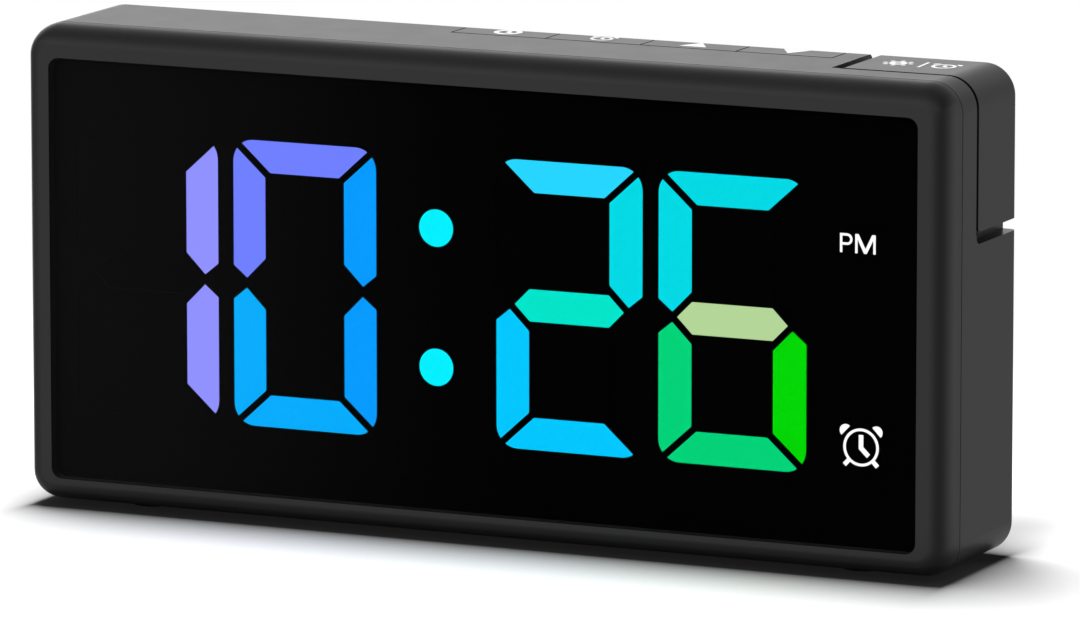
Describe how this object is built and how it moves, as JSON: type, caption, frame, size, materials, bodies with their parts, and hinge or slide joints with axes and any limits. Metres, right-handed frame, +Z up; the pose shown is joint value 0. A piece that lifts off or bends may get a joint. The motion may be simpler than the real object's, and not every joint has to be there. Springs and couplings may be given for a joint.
{
  "type": "digital led desk clock",
  "caption": "Slim bedside clock with a dark window over glowing seven-segment digits, four top keys and an L-shaped snooze bar over one corner.",
  "frame": {"origin": "on the table, under the middle of the case's bounding box (the bottoms of the feet are at z = 0)", "axes": "+X to the clock's right as it is read, +Y towards its back, +Z up; the window faces -Y"},
  "size_m": [0.16, 0.0282, 0.078],
  "materials": {
    "case_plastic": "fine satin grain",
    "key_plastic": "fine satin grain with printed signs",
    "window_acrylic": "clear polished acrylic",
    "mask_film": "black printed film",
    "reflector_white": "white moulded",
    "lens_resin": "milky resin",
    "chip_resin": "clear yellow resin",
    "board_laminate": "lacquered laminate",
    "chip_epoxy": "moulded epoxy",
    "connector_plastic": "moulded",
    "plunger_plastic": "moulded",
    "nickel_steel": "nickel plated",
    "contact_metal": "sprung strip",
    "screw_steel": "dark plated",
    "can_aluminium": "drawn can",
    "foot_rubber": "matt"
  },
  "bodies": {
    "case": {"afternoon_lens": "lens_resin", "alarm_lens": "lens_resin", "alarm_switch": "connector_plastic", "buzzer": "connector_plastic", "capacitor_1": "can_aluminium", "capacitor_2": "can_aluminium", "case_screws": "screw_steel", "coin_cell": "nickel_steel", "colon_lenses": "lens_resin", "controller_chip": "chip_epoxy", "display_board": "board_laminate", "display_mask": "mask_film", "display_window": "window_acrylic", "down_switch": "connector_plastic", "foot_1": "foot_rubber", "foot_2": "foot_rubber", "foot_3": "foot_rubber", "foot_4": "foot_rubber", "front_frame": "case_plastic", "header_socket": "connector_plastic", "header_strip": "connector_plastic", "hour_tens_lenses": "lens_resin", "hour_units_lenses": "lens_resin", "inlet_shell": "nickel_steel", "inlet_tongue": "connector_plastic", "key_board": "board_laminate", "key_board_screws": "screw_steel", "led_chips": "chip_resin", "main_board": "board_laminate", "main_board_screws": "screw_steel", "minute_tens_lenses": "lens_resin", "minute_units_lenses": "lens_resin", "rear_housing": "case_plastic", "reflector_block": "reflector_white", "rim_contact": "contact_metal", "snooze_switch": "connector_plastic", "spring_contact": "contact_metal", "time_switch": "connector_plastic", "up_switch": "connector_plastic"},
    "snooze": {"snooze_bar": "key_plastic", "snooze_plunger": "plunger_plastic"},
    "cap": {"battery_cap": "case_plastic"},
    "time_button": {"time_key": "key_plastic", "time_plunger": "plunger_plastic"},
    "alarm_button": {"alarm_key": "key_plastic", "alarm_plunger": "plunger_plastic"},
    "up_button": {"up_key": "key_plastic", "up_plunger": "plunger_plastic"},
    "down_button": {"down_key": "key_plastic", "down_plunger": "plunger_plastic"}
  },
  "joints": [
    {"name": "time_press", "type": "slide", "parent": "case", "child": "time_button", "axis": [0, 0, -1], "range_m": [0, 0.0005], "stiffness_N_per_m": 500, "springref_m": -0.001},
    {"name": "alarm_press", "type": "slide", "parent": "case", "child": "alarm_button", "axis": [0, 0, -1], "range_m": [0, 0.0005], "stiffness_N_per_m": 500, "springref_m": -0.001},
    {"name": "up_press", "type": "slide", "parent": "case", "child": "up_button", "axis": [0, 0, -1], "range_m": [0, 0.0005], "stiffness_N_per_m": 500, "springref_m": -0.001},
    {"name": "down_press", "type": "slide", "parent": "case", "child": "down_button", "axis": [0, 0, -1], "range_m": [0, 0.0005], "stiffness_N_per_m": 500, "springref_m": -0.001},
    {"name": "snooze_press", "type": "slide", "parent": "case", "child": "snooze", "axis": [0, 0, -1], "range_m": [0, 0.0008], "stiffness_N_per_m": 500, "springref_m": -0.0012},
    {"name": "cap_turn", "type": "hinge", "parent": "case", "child": "cap", "pos_m": [-0.046, 0.0133, 0.0388], "axis": [0, 1, 0], "range_deg": [0, 60]}
  ]
}
